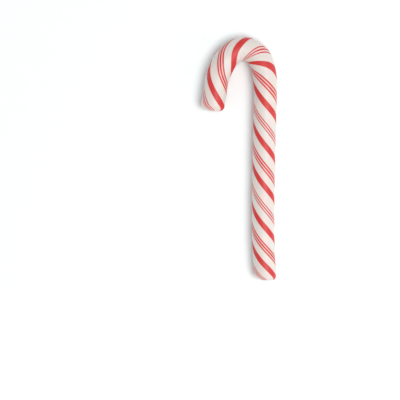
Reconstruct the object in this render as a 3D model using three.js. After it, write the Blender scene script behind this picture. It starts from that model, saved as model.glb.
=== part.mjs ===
// A hand-pulled peppermint candy cane, lying on its side with the hook flat on the table.
//
// Millimetres, +Z up. The stem runs along +Y and the hook turns over towards -X. The origin
// is in the middle of the cane's outline, on the table. The cane is one solid stick of sugar:
// a straight, round rod with two snipped ends that is twisted and then bent while it is warm.

import * as THREE from 'three';

// The rod, measured along its middle from the foot to the tip of the hook
const ROD_LENGTH = 198.5;
const FOOT_LEAN = 9.6; // degrees from +Y towards -X where the rod starts

// How sharply the rod turns towards -X: [distance from the foot, degrees per millimetre]
const BENDS = [
  [0, -0.7],
  [20, -0.1],
  [60, -0.02],
  [108, -0.02],
  [120, 0.5],
  [132, 1.2],
  [139, 4],
  [146, 4.9],
  [153, 6],
  [163, 2],
  [175, 1.7],
  [188, 0],
];

// The rod is a little thicker where the sugar was pushed together in the tight bend:
// [distance from the foot, radius]
const RADII = [
  [0, 6.7],
  [10, 7],
  [90, 7.1],
  [112, 7.2],
  [133, 7.6],
  [145, 7.4],
  [198, 7.5],
];

// How far the rod has been twisted: [distance from the foot, degrees]. Looking along the rod
// from the foot, the twist runs anticlockwise. It is tightest inside the hook's first bend.
const TWIST = [
  [0, -5],
  [30, 215],
  [110, 785],
  [134, 950],
  [153, 1130],
  [165, 1195],
  [175, 1250],
  [198, 1390],
];

// Low, round ridges where the colours lie, which run around the rod with the twist
const RIDGE_COUNT = 4;
const RIDGE_HEIGHT = 0.08;
const RIDGE_TURN = 26; // degrees from the rod's outer side to the first ridge, before the twist

// The snipped ends. A cut leans by `slant` degrees, further out on the outside of the bend.
// Its edge is rounded over `depth` along the rod and `round` across it, and the flat of the
// cut sits `shift` off the rod's middle, towards the outside of the bend.
const FOOT_CUT = { slant: 9.6, depth: 4.4, round: 4.2, shift: 0.8 };
const TIP_CUT = { slant: 6, depth: 4, round: 4.4, shift: -1.2 };
const SLANT_FADE = 12; // length over which the lean of a cut dies out along the rod

// The warm rod settled on the table, so its underside is flat this far each side of its
// lowest line, in degrees around the rod
const RESTING_ANGLE = 15;

// Facets of the solid
const SIDES = 36;
const RING_SPACING = 2;
const EDGE_STEPS = 4; // steps around the rounded edge of each cut
const WALK_STEP = 0.5; // step along the rod when its middle line is worked out

// Value at a distance along the rod, from a list of [distance, value] stations
function along(stations, distance) {
  const next = stations.findIndex(([place]) => place > distance);
  if (next === 0) return stations[0][1];
  if (next === -1) return stations.at(-1)[1];
  const [startPlace, startValue] = stations[next - 1];
  const [endPlace, endValue] = stations[next];
  const share = (distance - startPlace) / (endPlace - startPlace);
  return THREE.MathUtils.lerp(startValue, endValue, share);
}

// The rod's middle line, seen from above: it turns by its bend at every step of a walk from
// the foot to the tip
function walkMiddleLine() {
  const place = new THREE.Vector2(0, 0);
  let lean = FOOT_LEAN;
  const stops = [{ place: place.clone(), lean }];
  for (let walked = 0; walked < ROD_LENGTH; walked += WALK_STEP) {
    const turn = along(BENDS, walked + WALK_STEP / 2) * WALK_STEP;
    const heading = THREE.MathUtils.degToRad(lean + turn / 2);
    place.x -= Math.sin(heading) * WALK_STEP;
    place.y += Math.cos(heading) * WALK_STEP;
    lean += turn;
    stops.push({ place: place.clone(), lean });
  }
  return stops;
}

// Middle line, direction and outward side at a distance from the foot
function frameAt(stops, distance) {
  const stop = Math.min(distance / WALK_STEP, stops.length - 1);
  const before = stops[Math.floor(stop)];
  const after = stops[Math.ceil(stop)];
  const share = stop - Math.floor(stop);
  const heading = THREE.MathUtils.degToRad(THREE.MathUtils.lerp(before.lean, after.lean, share));
  return {
    middle: before.place.clone().lerp(after.place, share),
    forward: new THREE.Vector2(-Math.sin(heading), Math.cos(heading)),
    outward: new THREE.Vector2(Math.cos(heading), Math.sin(heading)),
  };
}

// Outline of half of the straight rod, from the middle of one cut to the middle of the
// other, as radius and distance from the foot
function rodProfile() {
  const profile = [new THREE.Vector2(0, 0)];
  for (let step = EDGE_STEPS; step >= 0; step -= 1) {
    const angle = (Math.PI / 2) * (step / EDGE_STEPS);
    const distance = FOOT_CUT.depth * (1 - Math.sin(angle));
    const inset = FOOT_CUT.round * (1 - Math.cos(angle));
    profile.push(new THREE.Vector2(along(RADII, distance) - inset, distance));
  }
  const plainLength = ROD_LENGTH - FOOT_CUT.depth - TIP_CUT.depth;
  const rings = Math.round(plainLength / RING_SPACING);
  for (let ring = 1; ring < rings; ring += 1) {
    const distance = FOOT_CUT.depth + (plainLength * ring) / rings;
    profile.push(new THREE.Vector2(along(RADII, distance), distance));
  }
  for (let step = 0; step <= EDGE_STEPS; step += 1) {
    const angle = (Math.PI / 2) * (step / EDGE_STEPS);
    const distance = ROD_LENGTH - TIP_CUT.depth * (1 - Math.sin(angle));
    const inset = TIP_CUT.round * (1 - Math.cos(angle));
    profile.push(new THREE.Vector2(along(RADII, distance) - inset, distance));
  }
  profile.push(new THREE.Vector2(0, ROD_LENGTH));
  return profile;
}

// Moves a point of a cut's lean and shift, `inward` being its distance from that end
function leanOfCut(cut, inward, sideways) {
  const edge = Math.max(0, 1 - inward / cut.depth);
  const fade = 1 - THREE.MathUtils.smoothstep(inward, 0, SLANT_FADE);
  const shifted = sideways + cut.shift * edge * edge;
  return { sideways: shifted, reach: shifted * Math.tan(THREE.MathUtils.degToRad(cut.slant)) * fade };
}

// Takes one point of the straight rod (sideways, up, distance from the foot) to its place on
// the finished cane
function bendPoint(stops, sideways, up, distance) {
  const radius = along(RADII, distance);
  const turned = THREE.MathUtils.radToDeg(Math.atan2(up, sideways)) - along(TWIST, distance);
  const ridge = Math.cos(THREE.MathUtils.degToRad(RIDGE_COUNT * (turned - RIDGE_TURN)));
  const clearOfTable = THREE.MathUtils.smoothstep(up / radius, -0.9, -0.4);
  const swell = 1 + (RIDGE_HEIGHT / radius) * ridge * clearOfTable;

  const foot = leanOfCut(FOOT_CUT, distance, sideways * swell);
  const tip = leanOfCut(TIP_CUT, ROD_LENGTH - distance, foot.sideways);
  const frame = frameAt(stops, distance);
  const middleHeight = radius * Math.cos(THREE.MathUtils.degToRad(RESTING_ANGLE));
  const flat = frame.middle
    .clone()
    .addScaledVector(frame.outward, tip.sideways)
    .addScaledVector(frame.forward, tip.reach - foot.reach);
  return new THREE.Vector3(flat.x, flat.y, Math.max(0, middleHeight + up * swell));
}

// The whole cane: a turned rod, bent point by point
function makeCane() {
  const geometry = new THREE.LatheGeometry(rodProfile(), SIDES, Math.PI / SIDES);
  const stops = walkMiddleLine();
  const position = geometry.attributes.position;
  for (let point = 0; point < position.count; point += 1) {
    const sideways = position.getX(point);
    const distance = position.getY(point);
    const up = position.getZ(point);
    const placed = bendPoint(stops, sideways, up, distance);
    position.setXYZ(point, placed.x, placed.y, placed.z);
  }

  geometry.computeBoundingBox();
  const middle = geometry.boundingBox.getCenter(new THREE.Vector3());
  geometry.translate(-middle.x, -middle.y, 0);
  geometry.computeVertexNormals();
  return geometry;
}

const peppermint = new THREE.MeshStandardMaterial({
  color: new THREE.Color(0.91, 0.87, 0.79),
  roughness: 0.35,
  metalness: 0,
});

const cane = new THREE.Mesh(makeCane(), peppermint);
cane.name = 'candy_cane';

const group = new THREE.Group();
group.name = 'peppermint_cane';
group.add(cane);

export default group;
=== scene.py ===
import math

import bpy
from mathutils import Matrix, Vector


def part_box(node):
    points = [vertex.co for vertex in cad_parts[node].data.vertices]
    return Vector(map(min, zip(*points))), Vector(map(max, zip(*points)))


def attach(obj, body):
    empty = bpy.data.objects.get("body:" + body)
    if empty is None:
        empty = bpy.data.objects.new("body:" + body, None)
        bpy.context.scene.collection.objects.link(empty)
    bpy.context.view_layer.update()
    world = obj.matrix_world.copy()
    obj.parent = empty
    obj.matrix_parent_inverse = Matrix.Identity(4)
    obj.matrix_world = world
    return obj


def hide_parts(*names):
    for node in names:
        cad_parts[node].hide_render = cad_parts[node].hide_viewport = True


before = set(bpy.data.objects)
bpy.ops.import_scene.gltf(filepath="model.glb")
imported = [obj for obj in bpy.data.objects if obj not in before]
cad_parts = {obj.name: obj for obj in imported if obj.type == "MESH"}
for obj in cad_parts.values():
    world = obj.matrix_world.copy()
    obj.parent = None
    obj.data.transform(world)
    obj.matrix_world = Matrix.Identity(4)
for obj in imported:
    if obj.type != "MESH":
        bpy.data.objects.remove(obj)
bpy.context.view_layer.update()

# A hand-pulled peppermint candy cane, lying on its side. Lengths in this script are in
# millimetres and angles in degrees, until they are handed to Blender in metres and radians.
MM = 0.001

# The rod, measured along its middle from the foot to the tip of the hook
ROD_LENGTH = 198.5
ROD_RADIUS = 7.4  # even radius of the straight rod that the colours are laid on
FOOT_LEAN = 9.6  # from +Y towards -X where the rod starts
WALK_STEP = 0.5

# How sharply the rod turns towards -X: (distance from the foot, degrees per millimetre)
BENDS = (
    (0, -0.7),
    (20, -0.1),
    (60, -0.02),
    (108, -0.02),
    (120, 0.5),
    (132, 1.2),
    (139, 4),
    (146, 4.9),
    (153, 6),
    (163, 2),
    (175, 1.7),
    (188, 0),
)

# Thickness of the rod: (distance from the foot, radius)
RADII = (
    (0, 6.7),
    (10, 7),
    (90, 7.1),
    (112, 7.2),
    (133, 7.6),
    (145, 7.4),
    (198, 7.5),
)

# How far the warm rod was twisted: (distance from the foot, degrees)
TWIST = (
    (0, -20),
    (30, 200),
    (60, 415),
    (110, 770),
    (134, 930),
    (153, 1130),
    (165, 1205),
    (175, 1260),
    (198, 1405),
)
TWIST_EASING = 3  # distance over which one rate of twist runs into the next

# How far the bending pushed the outer side of the rod ahead of its middle
LAG = (
    (0, -0.5),
    (95, -0.5),
    (106, 0.5),
    (125, 0.5),
    (136, 2),
    (148, 3),
    (154, 0.5),
    (162, 0.5),
    (172, -1.5),
    (185, -1),
    (198, 0),
)

# How far the top of the rod was dragged towards -Y while it was rolled into shape
TOP_DRAG = 2.2

# The snipped ends: each cut leans by its slant, and its flat sits off the rod's middle
EDGE_ROUND = 4.3
FOOT_SLANT = 9.6
FOOT_SHIFT = 0.8
TIP_SLANT = 6
TIP_SHIFT = -1.2
SLANT_FADE = 12  # length over which the lean of a cut dies out along the rod

# The warm rod settled on the table, and is flat this far each side of its lowest line
RESTING_ANGLE = 15
FLAT_EDGE = 0.2  # softness of the edge of that flat

# Low, round ridges where the colours lie
RIDGE_COUNT = 4
RIDGE_HEIGHT = 0.08
RIDGE_TURN = 26
RIDGE_RISE = (-0.9, -0.4)  # they rise between these heights, as shares of the radius

# Unevenness that the hand leaves in the rod
LUMP_HEIGHT = 0.07
LUMP_LENGTH = 9
LUMP_STRETCH = 1.5
SNIP_HEIGHT = 0.16
SNIP_LENGTH = 3
HAND_SEED = 4.0

# Fineness of the finished mesh
SIDES = 128
RINGS = 560
EDGE_STEPS = 16
CLOSING_DISTANCE = 0.002  # points nearer to each other than this become one

# The pattern, as angles round the untwisted rod from its outer side
BROAD_TURN = 23.5
BROAD_WIDTH = 36.5
THICK_PINS_TURN = -61
THICK_PIN_GAP = 17
THICK_PIN_WIDTH = 9.2
THIN_PINS_TURN = 118.5
THIN_PIN_GAP = 15.4
THIN_PIN_WIDTH = 6.8
MIDDLE_PIN_GROWTH = 1.5  # how much wider the middle pin of three is
THICK_BED = 0.46  # pink between the pins
THIN_BED = 0.17
HALO = 0.14  # pink beside a broad stripe
EDGE_BLUR = 0.9
WAVER = 1.2
BLUSH_REACH = 7
CORE_RADIUS = 2.7  # the colours lie outside this radius on the snipped ends
CORE_BLUR = 0.15
WAVER_SIZE = 3
WAVER_STRETCH = 6  # how many times longer than wide the wavering of the stripes is

# The silky lines, clouds and pits of pulled sugar
LINE_WIDTH = 0.45
LINE_STRETCH = 40
CLOUD_WIDTH = 4
CLOUD_STRETCH = 2.5
PIT_SPACING = 0.9
PIT_LENGTH = 2.2
PIT_RIM = (0.05, 0.16)  # a pit rises between these distances, as shares of the spacing
LINE_RELIEF = 0.006
PIT_DEPTH = 0.02

# Colours of the sugar. The lines and clouds run from -1 to 1, and a colour goes over into
# the next one between the two values given for it.
CREAM_WHITE = (0.77, 0.717, 0.682, 1)
SILK_WHITE = (0.718, 0.65, 0.605, 1)
BLUSH_PINK = (0.78, 0.36, 0.33, 1)
STRIPE_RED = (0.62, 0.026, 0.026, 1)
STREAK_RED = (0.68, 0.062, 0.054, 1)
SILK_TO_CREAM = (-0.7, 0.9)
STRIPE_TO_STREAK = (0.1, 1.1)
CLOUDS_IN_WHITE = 0.8

# Finish of the sugar: satin, duller where it was snipped, and slightly clear
SATIN_ROUGHNESS = 0.52
LINE_ROUGHNESS = 0.04
CLOUD_ROUGHNESS = 0.05
CORE_ROUGHNESS = 0.12
CLEARNESS = 0.6  # share of the light that goes into the sugar
LIGHT_DEPTH = 3  # how far it goes in
LIGHT_SPREAD = (1.6, 0.12, 0.08)  # how much of that depth red, green and blue light goes
GLAZE = 0.2  # strength of the shinier skin
GLAZE_ROUGHNESS = 0.42

# The paper that the cane lies on
PAPER_GREY = (0.91, 0.945, 0.95, 1)
PAPER_WHITE = (0.935, 0.97, 0.975, 1)
PAPER_ROUGHNESS = 0.9
PAPER_SHINE = 0.1
TOOTH_SIZE = 6
PAPER_HALF_WIDTH = 2500


# ---------------------------------------------------------------- nodes as plain sums


def feed(tree, entry, value):
    """Sets a node's input to a value, or joins it to another node's output."""
    if isinstance(value, Amount):
        value = value.socket
    if isinstance(value, bpy.types.NodeSocket):
        tree.links.new(value, entry)
    else:
        entry.default_value = value


def add(tree, kind, entries=None, **settings):
    """Adds a node. `entries` gives inputs, by name or number, a value or an output."""
    node = tree.nodes.new(kind)
    for name, value in settings.items():
        setattr(node, name, value)
    for entry, value in (entries or {}).items():
        feed(tree, node.inputs[entry], value)
    return node


class Amount:
    """A number that changes over the sugar, worked out by a chain of math nodes."""

    def __init__(self, socket):
        self.socket = socket

    def worked(self, operation, *others):
        tree = self.socket.id_data
        entries = dict(enumerate((self, *others)))
        return Amount(add(tree, "ShaderNodeMath", entries, operation=operation).outputs[0])

    def __add__(self, other):
        return self.worked("ADD", other)

    def __sub__(self, other):
        return self.worked("SUBTRACT", other)

    def __mul__(self, other):
        return self.worked("MULTIPLY", other)

    def __truediv__(self, other):
        return self.worked("DIVIDE", other)

    def __neg__(self):
        return self.worked("MULTIPLY", -1)

    def ramp(self, low, high, low_value=0, high_value=1):
        """Eases from one value to another as the amount goes from low to high."""
        entries = {"Value": self, "From Min": low, "From Max": high}
        entries.update({"To Min": low_value, "To Max": high_value})
        tree = self.socket.id_data
        node = add(tree, "ShaderNodeMapRange", entries, interpolation_type="SMOOTHSTEP")
        return Amount(node.outputs["Result"])


def joined(tree, x, y, z):
    """A vector from three amounts."""
    return add(tree, "ShaderNodeCombineXYZ", {0: x, 1: y, 2: z}).outputs[0]


def split(tree, vector):
    """The three amounts of a vector."""
    return [Amount(part) for part in add(tree, "ShaderNodeSeparateXYZ", {0: vector}).outputs]


def scaled(tree, vector, factor):
    """A vector times an amount, or times another vector where the factor is a tuple."""
    if isinstance(factor, tuple):
        entries = {0: vector, 1: factor}
        return add(tree, "ShaderNodeVectorMath", entries, operation="MULTIPLY").outputs[0]
    entries = {0: vector, "Scale": factor}
    return add(tree, "ShaderNodeVectorMath", entries, operation="SCALE").outputs[0]


def summed(tree, first, second):
    """The sum of two vectors."""
    entries = {0: first, 1: second}
    return add(tree, "ShaderNodeVectorMath", entries, operation="ADD").outputs[0]


def mottle(tree, vector, size, stretch=1, detail=2, seed=0.0):
    """Noise from -1 to 1 with patches of that size, stretched along the rod."""
    pitch = 1 / (size * MM)
    entries = {"Vector": scaled(tree, vector, (pitch, pitch, pitch / stretch)), "W": seed}
    entries.update({"Scale": 1, "Detail": detail, "Roughness": 0.55})
    noise = add(tree, "ShaderNodeTexNoise", entries, noise_dimensions="4D")
    return (Amount(noise.outputs[0]) - 0.5) * 2


# ---------------------------------------------------------------- the bent, twisted rod


def along(stations, distance):
    """Value at a distance along the rod, from (distance, value) stations."""
    if distance <= stations[0][0]:
        return stations[0][1]
    for (start, start_value), (end, end_value) in zip(stations, stations[1:]):
        if distance < end:
            share = (distance - start) / (end - start)
            return start_value + share * (end_value - start_value)
    return stations[-1][1]


def eased(stations, distance, reach):
    """Value at a distance, with the corners between the stations rounded off."""
    places = [distance + reach * step / 4 for step in range(-4, 5)]
    return sum(along(stations, place) for place in places) / len(places)


def walk_middle_line():
    """The rod's middle line from above, as (x, y, lean) at every step from the foot."""
    x = 0
    y = 0
    lean = FOOT_LEAN
    stops = [(x, y, lean)]
    for step in range(round(ROD_LENGTH / WALK_STEP)):
        turn = along(BENDS, (step + 0.5) * WALK_STEP) * WALK_STEP
        heading = math.radians(lean + turn / 2)
        x -= math.sin(heading) * WALK_STEP
        y += math.cos(heading) * WALK_STEP
        lean += turn
        stops.append((x, y, lean))
    return stops


def make_rod_line():
    """The middle line as a mesh that carries the rod's thickness, twist and lag."""
    stops = walk_middle_line()
    steps = range(len(stops))
    line = bpy.data.meshes.new("rod_line")
    points = [(x * MM, y * MM, 0) for x, y, _ in stops]
    line.from_pydata(points, [(step, step + 1) for step in steps[:-1]], [])
    distances = [step * WALK_STEP for step in steps]
    leans = [math.radians(lean) for _, _, lean in stops]
    carried = {
        "rod_radius": [along(RADII, far) * MM for far in distances],
        "twist": [math.radians(eased(TWIST, far, TWIST_EASING)) for far in distances],
        "lag": [eased(LAG, far, TWIST_EASING) * MM for far in distances],
        "upper_lag": [-TOP_DRAG * math.cos(lean) * MM for lean in leans],
    }
    for name, values in carried.items():
        line.attributes.new(name, "FLOAT", "POINT").data.foreach_set("value", values)
    return line


# What the rod tree is given, in metres and radians
ROD_SIZES = {
    "Rod Length": ROD_LENGTH * MM,
    "Rod Radius": ROD_RADIUS * MM,
    "Edge Round": EDGE_ROUND * MM,
    "Foot Slant": math.radians(FOOT_SLANT),
    "Foot Shift": FOOT_SHIFT * MM,
    "Tip Slant": math.radians(TIP_SLANT),
    "Tip Shift": TIP_SHIFT * MM,
    "Slant Fade": SLANT_FADE * MM,
    "Resting Angle": math.radians(RESTING_ANGLE),
    "Flat Edge": FLAT_EDGE * MM,
    "Ridge Height": RIDGE_HEIGHT * MM,
    "Ridge Turn": math.radians(RIDGE_TURN),
    "Lump Height": LUMP_HEIGHT * MM,
    "Snip Height": SNIP_HEIGHT * MM,
}


def sample_rod(tree, rod, distance, carried):
    """What the rod line carries at a distance along it, and the node that reads it."""
    name = add(tree, "GeometryNodeInputNamedAttribute", {"Name": carried}, data_type="FLOAT")
    entries = {"Curves": rod, "Value": name.outputs["Attribute"], "Length": distance}
    node = add(tree, "GeometryNodeSampleCurve", entries, mode="LENGTH", data_type="FLOAT")
    return Amount(node.outputs["Value"]), node


def rod_outline(tree, sizes):
    """Half of the straight rod's outline, from the middle of one cut to the other."""
    radius = sizes["Rod Radius"]
    length = sizes["Rod Length"]
    corners = {
        "Point 1": (0, 0, 0),
        "Point 2": joined(tree, radius, 0, 0),
        "Point 3": joined(tree, radius, length, 0),
        "Point 4": joined(tree, 0, length, 0),
    }
    square = add(tree, "GeometryNodeCurvePrimitiveQuadrilateral", mode="POINTS")
    for name, corner in corners.items():
        feed(tree, square.inputs[name], corner)
    opened = add(tree, "GeometryNodeSetSplineCyclic", {0: square.outputs[0], "Cyclic": False})
    entries = {"Curve": opened.outputs[0], "Radius": sizes["Edge Round"], "Count": EDGE_STEPS}
    rounded = add(tree, "GeometryNodeFilletCurve", entries, mode="POLY")
    return rounded.outputs[0]


def lean_of_cut(sizes, end, inward, sideways):
    """Where a cut's lean and shift take a point: its place sideways, and its reach."""
    edge = (-(inward / sizes["Edge Round"]) + 1).worked("MAXIMUM", 0)
    shifted = sideways + edge * edge * sizes[end + " Shift"]
    fade = inward.ramp(0, sizes["Slant Fade"], 1, 0)
    slope = sizes[end + " Slant"].worked("TANGENT")
    return shifted, shifted * slope * fade


def pulled_rod_tree():
    """Nodes that turn the rod line into the finished, twisted cane."""
    tree = bpy.data.node_groups.new("pulled_rod", "GeometryNodeTree")
    tree.is_modifier = True
    tree.interface.new_socket("Geometry", in_out="INPUT", socket_type="NodeSocketGeometry")
    for name in ("Sides", "Rings"):
        tree.interface.new_socket(name, in_out="INPUT", socket_type="NodeSocketInt")
    for name in ROD_SIZES:
        tree.interface.new_socket(name, in_out="INPUT", socket_type="NodeSocketFloat")
    tree.interface.new_socket("Sugar", in_out="INPUT", socket_type="NodeSocketMaterial")
    tree.interface.new_socket("Geometry", in_out="OUTPUT", socket_type="NodeSocketGeometry")
    given = tree.nodes.new("NodeGroupInput").outputs
    sizes = {name: Amount(given[name]) for name in ROD_SIZES}

    # a sheet that is wrapped once round the rod
    rod = add(tree, "GeometryNodeMeshToCurve", {0: given["Geometry"]}).outputs[0]
    columns = Amount(given["Sides"]) + 1
    entries = {"Size X": 1, "Size Y": 1, "Vertices X": columns, "Vertices Y": given["Rings"]}
    sheet = add(tree, "GeometryNodeMeshGrid", entries)
    place = add(tree, "GeometryNodeInputPosition").outputs[0]
    across, up_sheet, _ = split(tree, place)
    around = (across + 0.5) * math.tau

    # radius and distance on the straight rod
    entries = {"Curves": rod_outline(tree, sizes), "Factor": up_sheet + 0.5}
    outline = add(tree, "GeometryNodeSampleCurve", entries, mode="FACTOR", data_type="FLOAT")
    even_radius, distance, _ = split(tree, outline.outputs["Position"])
    rod_radius, rod_at = sample_rod(tree, rod, distance, "rod_radius")
    out_from_middle = even_radius / sizes["Rod Radius"]
    radius = out_from_middle * rod_radius
    sideways = radius * around.worked("COSINE")
    up = radius * around.worked("SINE")

    # where this bit of sugar was before the rod was twisted: the bending and rolling moved
    # the rod's skin most, and its middle not at all
    lag, _ = sample_rod(tree, rod, distance, "lag")
    upper_lag, _ = sample_rod(tree, rod, distance, "upper_lag")
    pushed = lag * around.worked("COSINE") + upper_lag * around.worked("SINE")
    sugar_distance = distance - pushed * out_from_middle
    twist, _ = sample_rod(tree, rod, sugar_distance, "twist")
    turned = around - twist
    sugar_place = joined(
        tree,
        even_radius * turned.worked("COSINE"),
        even_radius * turned.worked("SINE"),
        sugar_distance,
    )

    # ridges under the colours, and what the hand left uneven
    ridge = ((turned - sizes["Ridge Turn"]) * RIDGE_COUNT).worked("COSINE")
    clear_of_table = (up / rod_radius).ramp(*RIDGE_RISE)
    lump = mottle(tree, sugar_place, LUMP_LENGTH, LUMP_STRETCH, seed=HAND_SEED)
    swell = ridge * clear_of_table * sizes["Ridge Height"] + lump * sizes["Lump Height"]
    swollen = swell / rod_radius + 1
    sideways = sideways * swollen
    up = up * swollen

    # the two cuts
    sideways, foot_reach = lean_of_cut(sizes, "Foot", distance, sideways)
    tip_inward = -distance + sizes["Rod Length"]
    sideways, tip_reach = lean_of_cut(sizes, "Tip", tip_inward, sideways)
    on_cut = even_radius.ramp(0, sizes["Rod Radius"], 1, 0)
    snip = mottle(tree, sugar_place, SNIP_LENGTH, seed=HAND_SEED + 1)
    reach = tip_reach - foot_reach + snip * on_cut * sizes["Snip Height"]

    # bent into place and settled on the table
    forward = rod_at.outputs["Tangent"]
    entries = {0: forward, 1: (0, 0, 1)}
    outward = add(tree, "ShaderNodeVectorMath", entries, operation="CROSS_PRODUCT").outputs[0]
    flat_place = summed(tree, rod_at.outputs["Position"], scaled(tree, outward, sideways))
    flat_place = summed(tree, flat_place, scaled(tree, forward, reach))
    middle_height = rod_radius * sizes["Resting Angle"].worked("COSINE")
    height = (middle_height + up).worked("SMOOTH_MAX", 0, sizes["Flat Edge"])
    final_place = summed(tree, flat_place, joined(tree, 0, 0, height))
    entries = {"Geometry": sheet.outputs["Mesh"], "Name": "sugar_place", "Value": sugar_place}
    kind = {"data_type": "FLOAT_VECTOR", "domain": "POINT"}
    stored = add(tree, "GeometryNodeStoreNamedAttribute", entries, **kind)
    entries = {"Geometry": stored.outputs[0], "Position": final_place}
    bent = add(tree, "GeometryNodeSetPosition", entries)

    # seam and ends closed, faces outward
    entries = {"Geometry": bent.outputs[0], "Distance": CLOSING_DISTANCE * MM}
    closed = add(tree, "GeometryNodeMergeByDistance", entries)
    turned_out = add(tree, "GeometryNodeFlipFaces", {0: closed.outputs[0]})
    smooth = add(tree, "GeometryNodeSetShadeSmooth", {0: turned_out.outputs[0]})
    real = add(tree, "GeometryNodeRealizeInstances", {0: smooth.outputs[0]})
    entries = {"Geometry": real.outputs[0], "Material": given["Sugar"]}
    finished = add(tree, "GeometryNodeSetMaterial", entries)
    tree.links.new(finished.outputs[0], tree.nodes.new("NodeGroupOutput").inputs[0])
    return tree


def make_cane(sugar):
    """The whole cane as one plain mesh, in the place that the CAD gives it."""
    cane = bpy.data.objects.new("peppermint_cane", make_rod_line())
    bpy.context.scene.collection.objects.link(cane)
    tree = pulled_rod_tree()
    nodes = cane.modifiers.new("pulled_rod", "NODES")
    nodes.node_group = tree
    given = {"Sides": SIDES, "Rings": RINGS, "Sugar": sugar, **ROD_SIZES}
    for socket in tree.interface.items_tree:
        if socket.in_out == "INPUT" and socket.name in given:
            nodes[socket.identifier] = given[socket.name]

    depsgraph = bpy.context.evaluated_depsgraph_get()
    mesh = bpy.data.meshes.new_from_object(
        cane.evaluated_get(depsgraph), preserve_all_data_layers=True, depsgraph=depsgraph
    )
    cane.modifiers.clear()
    cane.data = mesh
    mesh.materials.clear()
    mesh.materials.append(sugar)
    mesh.polygons.foreach_set("material_index", [0] * len(mesh.polygons))
    centre_on(mesh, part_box("candy_cane"))
    return cane


def centre_on(mesh, box):
    """Moves the mesh so that its outline is centred on the CAD's, seen from above."""
    shift = [0, 0, 0]
    for axis in range(2):
        places = [vertex.co[axis] for vertex in mesh.vertices]
        shift[axis] = (box[0][axis] + box[1][axis] - min(places) - max(places)) / 2
    for vertex in mesh.vertices:
        vertex.co.x += shift[0]
        vertex.co.y += shift[1]


# ---------------------------------------------------------------- finishes


def shader_group(name, entries, results):
    """An empty shader node group with named inputs, given as values, and outputs."""
    group = bpy.data.node_groups.new(name, "ShaderNodeTree")
    for entry, value in entries.items():
        kind = "NodeSocketVector" if value is None else "NodeSocketFloat"
        socket = group.interface.new_socket(entry, in_out="INPUT", socket_type=kind)
        if value is not None:
            socket.default_value = value
    for result in results:
        group.interface.new_socket(result, in_out="OUTPUT", socket_type="NodeSocketFloat")
    given = group.nodes.new("NodeGroupInput").outputs
    taken = group.nodes.new("NodeGroupOutput").inputs
    return group, given, taken


def line_mask(offset, width, blur):
    """1 on a line of that width, softly down to 0 beside it."""
    half = width * 0.5
    return offset.worked("ABSOLUTE").ramp(half - blur, half + blur, 1, 0)


def twisted_stripes():
    """Masks of the red stripes that were rolled up in the rod before it was twisted."""
    entries = {
        "Sugar Place": None,
        "Broad Turn": BROAD_TURN,
        "Broad Width": BROAD_WIDTH,
        "Thick Pins Turn": THICK_PINS_TURN,
        "Thick Pin Gap": THICK_PIN_GAP,
        "Thick Pin Width": THICK_PIN_WIDTH,
        "Thin Pins Turn": THIN_PINS_TURN,
        "Thin Pin Gap": THIN_PIN_GAP,
        "Thin Pin Width": THIN_PIN_WIDTH,
        "Middle Pin Growth": MIDDLE_PIN_GROWTH,
        "Thick Pin Bed": THICK_BED,
        "Thin Pin Bed": THIN_BED,
        "Halo": HALO,
        "Edge Blur": EDGE_BLUR,
        "Blush Reach": BLUSH_REACH,
        "Waver": WAVER,
        "Core Radius": CORE_RADIUS * MM,
    }
    results = ("Broad", "Thick Pins", "Thin Pins", "Blush", "Skin")
    group, given, taken = shader_group("twisted_stripes", entries, results)
    sizes = {name: Amount(given[name]) for name in entries if name != "Sugar Place"}
    place = given["Sugar Place"]
    x, y, _ = split(group, place)
    waver = mottle(group, place, WAVER_SIZE, WAVER_STRETCH, detail=3, seed=1.0) * sizes["Waver"]
    angle = y.worked("ARCTAN2", x).worked("DEGREES") + waver
    radius = (x * x + y * y).worked("SQRT")
    blur = sizes["Edge Blur"]
    core = sizes["Core Radius"]
    skin = radius.ramp(core * (1 - CORE_BLUR), core * (1 + CORE_BLUR))

    broad_offset = (angle - sizes["Broad Turn"]).worked("WRAP", 90, -90)
    broad = line_mask(broad_offset, sizes["Broad Width"], blur)
    reach = sizes["Blush Reach"]
    blush = line_mask(broad_offset, sizes["Broad Width"] + reach, reach) * sizes["Halo"]
    feed(group, taken["Broad"], broad * skin)

    for name in ("Thick Pin", "Thin Pin"):
        offset = (angle - sizes[name + "s Turn"]).worked("WRAP", 180, -180)
        gap = sizes[name + " Gap"]
        nearest = (offset / gap).worked("ROUND").worked("MINIMUM", 1).worked("MAXIMUM", -1)
        middle = -nearest.worked("ABSOLUTE") + 1
        width = middle * sizes["Middle Pin Growth"] + sizes[name + " Width"]
        pins = line_mask(offset - nearest * gap, width, blur)
        feed(group, taken[name + "s"], pins * skin)
        bed = line_mask(offset, gap * 2 + sizes[name + " Width"], reach) * sizes[name + " Bed"]
        blush = blush.worked("MAXIMUM", bed)

    feed(group, taken["Blush"], blush * skin)
    feed(group, taken["Skin"], skin)
    return group


def pulled_grain():
    """The silky lines, clouds and pits of pulled sugar, drawn out along the twist."""
    results = ("Lines", "Clouds", "Pits")
    group, given, taken = shader_group("pulled_grain", {"Sugar Place": None}, results)
    place = given["Sugar Place"]
    lines = mottle(group, place, LINE_WIDTH, LINE_STRETCH, detail=3, seed=2.0)
    clouds = mottle(group, place, CLOUD_WIDTH, CLOUD_STRETCH, detail=3, seed=3.0)
    feed(group, taken["Lines"], lines)
    feed(group, taken["Clouds"], clouds)
    pitch = 1 / (PIT_SPACING * MM)
    spread = scaled(group, place, (pitch, pitch, 1 / (PIT_LENGTH * MM)))
    pits = add(group, "ShaderNodeTexVoronoi", {"Vector": spread, "Scale": 1})
    feed(group, taken["Pits"], Amount(pits.outputs["Distance"]).ramp(*PIT_RIM, 1, 0))
    return group


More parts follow.
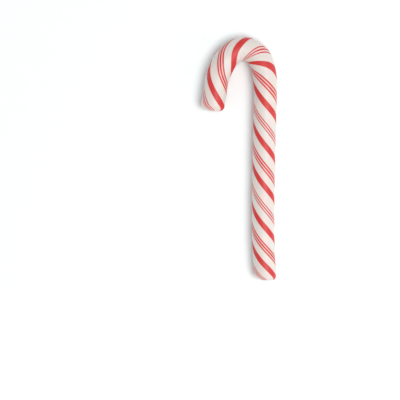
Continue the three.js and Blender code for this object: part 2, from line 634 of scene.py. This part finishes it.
def blend_colour(tree, amount, first, second):
    """A colour that goes from the first to the second as the amount goes from 0 to 1."""
    node = add(tree, "ShaderNodeMix", {"Factor": amount}, data_type="RGBA")
    feed(tree, node.inputs[6], first)
    feed(tree, node.inputs[7], second)
    return node.outputs[2]


def new_material(name):
    """An empty node material and its surface shader."""
    material = bpy.data.materials.new(name)
    material.use_nodes = True
    tree = material.node_tree
    return material, tree, tree.nodes["Principled BSDF"]


def make_sugar():
    """Satin peppermint sugar: creamy white with red stripes wound round it."""
    material, tree, surface = new_material("pulled_peppermint")
    place = add(tree, "ShaderNodeAttribute", attribute_name="sugar_place").outputs["Vector"]
    stripes = add(tree, "ShaderNodeGroup", node_tree=twisted_stripes())
    grain = add(tree, "ShaderNodeGroup", node_tree=pulled_grain())
    feed(tree, stripes.inputs["Sugar Place"], place)
    feed(tree, grain.inputs["Sugar Place"], place)
    masks = {socket.name: Amount(socket) for socket in stripes.outputs}
    lines = Amount(grain.outputs["Lines"])
    clouds = Amount(grain.outputs["Clouds"])
    pits = Amount(grain.outputs["Pits"])

    pale = (lines + clouds * CLOUDS_IN_WHITE).ramp(*SILK_TO_CREAM)
    white = blend_colour(tree, pale, SILK_WHITE, CREAM_WHITE)
    white = blend_colour(tree, masks["Blush"], white, BLUSH_PINK)
    streaks = (lines - clouds).ramp(*STRIPE_TO_STREAK)
    red = blend_colour(tree, streaks, STRIPE_RED, STREAK_RED)
    pins = masks["Thick Pins"] + masks["Thin Pins"]
    colour = blend_colour(tree, (masks["Broad"] + pins).worked("MINIMUM", 1), white, red)
    feed(tree, surface.inputs["Base Color"], colour)

    core = -masks["Skin"] + 1
    dullness = lines * LINE_ROUGHNESS + clouds * CLOUD_ROUGHNESS + core * CORE_ROUGHNESS
    feed(tree, surface.inputs["Roughness"], dullness + SATIN_ROUGHNESS)
    surface.inputs["Subsurface Weight"].default_value = CLEARNESS
    surface.inputs["Subsurface Radius"].default_value = LIGHT_SPREAD
    surface.inputs["Subsurface Scale"].default_value = LIGHT_DEPTH * MM
    surface.inputs["Coat Weight"].default_value = GLAZE
    surface.inputs["Coat Roughness"].default_value = GLAZE_ROUGHNESS

    relief = lines * LINE_RELIEF - pits * PIT_DEPTH
    bump = add(tree, "ShaderNodeBump", {"Height": relief, "Distance": MM, "Strength": 1})
    feed(tree, surface.inputs["Normal"], bump.outputs[0])
    return material


def make_paper():
    """Plain white studio paper with the faintest tooth."""
    material, tree, surface = new_material("studio_paper")
    place = add(tree, "ShaderNodeTexCoord").outputs["Object"]
    tooth = mottle(tree, place, TOOTH_SIZE, detail=3, seed=5.0)
    colour = blend_colour(tree, tooth.ramp(-1, 1), PAPER_GREY, PAPER_WHITE)
    feed(tree, surface.inputs["Base Color"], colour)
    surface.inputs["Roughness"].default_value = PAPER_ROUGHNESS
    surface.inputs["Specular IOR Level"].default_value = PAPER_SHINE
    return material


# ---------------------------------------------------------------- studio

PICTURE_MIDDLE = (-24.5, -25.84, 7.4)  # point at the middle of the frame
FRAME_WIDTH = 250.4  # width that the frame takes in at that height
LENS = 200
SENSOR = 36

# The lights: widths and distances, watts, and degrees up from the table and round from +X
SOFTBOX = {
    "colour": (1.0, 0.985, 0.965),
    "size": 950,
    "power": 15.4,
    "distance": 1600,
    "elevation": 69.3,
    "azimuth": -26,
}
SIDE_WINDOW = {
    "colour": (1.0, 1.0, 1.0),
    "size": 1600,
    "power": 4.0,
    "distance": 1800,
    "elevation": 15,
    "azimuth": -30,
}
SKY_COLOUR = (0.955, 1.0, 1.015, 1)
SKY_STRENGTH = 0.6


def make_camera():
    """A long lens straight above, at the distance where its frame is that wide."""
    lens = bpy.data.cameras.new("overhead_camera")
    lens.lens = LENS
    lens.sensor_width = SENSOR
    camera = bpy.data.objects.new("overhead_camera", lens)
    x, y, z = PICTURE_MIDDLE
    camera.location = (x * MM, y * MM, (z + FRAME_WIDTH * LENS / SENSOR) * MM)
    bpy.context.scene.collection.objects.link(camera)
    bpy.context.scene.camera = camera


def make_light(name, colour, size, power, distance, elevation, azimuth):
    """A round softbox that faces the cane. The azimuth runs from +X towards +Y."""
    lamp = bpy.data.lights.new(name, "AREA")
    lamp.shape = "DISK"
    lamp.color = colour
    lamp.size = size * MM
    lamp.energy = power
    light = bpy.data.objects.new(name, lamp)
    level = distance * MM * math.cos(math.radians(elevation))
    light.location = (
        level * math.cos(math.radians(azimuth)),
        level * math.sin(math.radians(azimuth)),
        distance * MM * math.sin(math.radians(elevation)),
    )
    light.rotation_euler = (0, math.radians(90 - elevation), math.radians(azimuth))
    bpy.context.scene.collection.objects.link(light)


def make_floor():
    """A wide sheet of paper under the cane."""
    half = PAPER_HALF_WIDTH * MM
    mesh = bpy.data.meshes.new("studio_floor")
    corners = [(-half, -half, 0), (half, -half, 0), (half, half, 0), (-half, half, 0)]
    mesh.from_pydata(corners, [], [(0, 1, 2, 3)])
    mesh.materials.append(make_paper())
    floor = bpy.data.objects.new("studio_floor", mesh)
    bpy.context.scene.collection.objects.link(floor)


def make_sky(colour, strength):
    """Even, slightly cool light from all round."""
    world = bpy.data.worlds.new("white_room")
    world.use_nodes = True
    background = world.node_tree.nodes["Background"]
    background.inputs["Color"].default_value = colour
    background.inputs["Strength"].default_value = strength
    bpy.context.scene.world = world


make_camera()
make_light("softbox", **SOFTBOX)
make_light("side_window", **SIDE_WINDOW)
make_sky(SKY_COLOUR, SKY_STRENGTH)
make_floor()
bpy.context.scene.view_settings.view_transform = "Standard"

cane = make_cane(make_sugar())
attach(cane, "root")
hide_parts("candy_cane")
